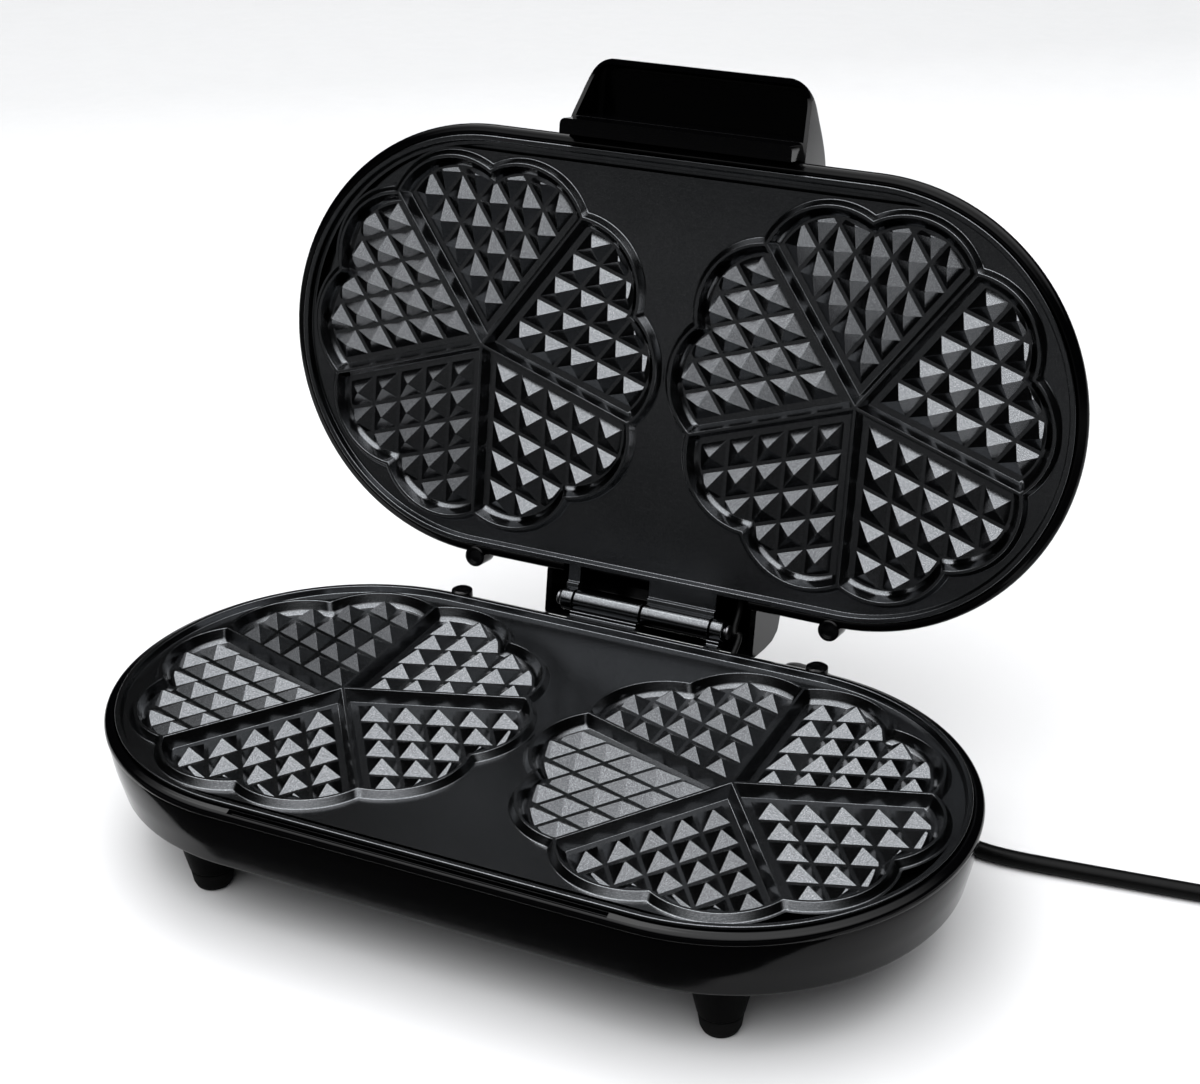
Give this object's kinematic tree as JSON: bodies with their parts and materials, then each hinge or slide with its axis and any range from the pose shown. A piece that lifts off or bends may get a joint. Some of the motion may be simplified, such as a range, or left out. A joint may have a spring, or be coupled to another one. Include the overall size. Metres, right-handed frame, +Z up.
{
  "type": "waffle maker",
  "caption": "Electric heart-waffle maker for the table, standing open on conical feet, with a rear-hinged lid, scoop handle, patterned non-stick plates and a mains lead.",
  "frame": {"origin": "on the standing surface, under the middle of the open appliance, its lead left out", "axes": "+X from the left waffle to the right one, +Y from the handle side to the hinge side, +Z up"},
  "size_m": [0.561, 0.2768, 0.2924],
  "materials": {
    "housing": "glossy black moulded plastic",
    "cover": "satin black moulded plastic",
    "coating": "cast aluminium with dark grey non-stick coating",
    "steel": "bright drawn steel",
    "element": "heat-darkened steel sheath",
    "reflector": "plain thin sheet",
    "ceramic": "unglazed off-white insulator",
    "rubber": "matte black rubber",
    "lead": "smooth black cable sheath",
    "red_lens": "clear red lens",
    "green_lens": "clear green lens"
  },
  "bodies": {
    "base": {"base_shell": "housing", "base_cover": "cover", "lower_reflector": "reflector", "lower_heating_element": "element", "thermostat": "ceramic", "thermal_fuse": "steel", "terminal_block": "ceramic", "hinge_pin": "steel", "pin_clip_left": "steel", "pin_clip_right": "steel", "base_link_wire": "lead", "strain_relief": "rubber", "lead_run": "lead", "lead_coil": "lead", "lead_tail": "lead", "plug_body": "rubber", "plug_pin_left": "steel", "plug_pin_right": "steel", "lower_plate": "coating", "foot_front_left": "cover", "foot_pad_front_left": "rubber", "foot_front_right": "cover", "foot_pad_front_right": "rubber", "foot_rear_left": "cover", "foot_pad_rear_left": "rubber", "foot_rear_right": "cover", "foot_pad_rear_right": "rubber"},
    "lid": {"lid_shell": "housing", "handle": "housing", "lamp_power": "red_lens", "lamp_ready": "green_lens", "lid_link_wire": "lead", "upper_plate": "coating", "upper_heating_element": "element", "upper_reflector": "reflector", "upper_cutout": "ceramic"}
  },
  "joints": [
    {"name": "lid_hinge", "type": "hinge", "parent": "base", "child": "lid", "pos_m": [0, 0.06744, 0.0615], "axis": [1, 0, 0], "range_deg": [0, 100.5]}
  ]
}
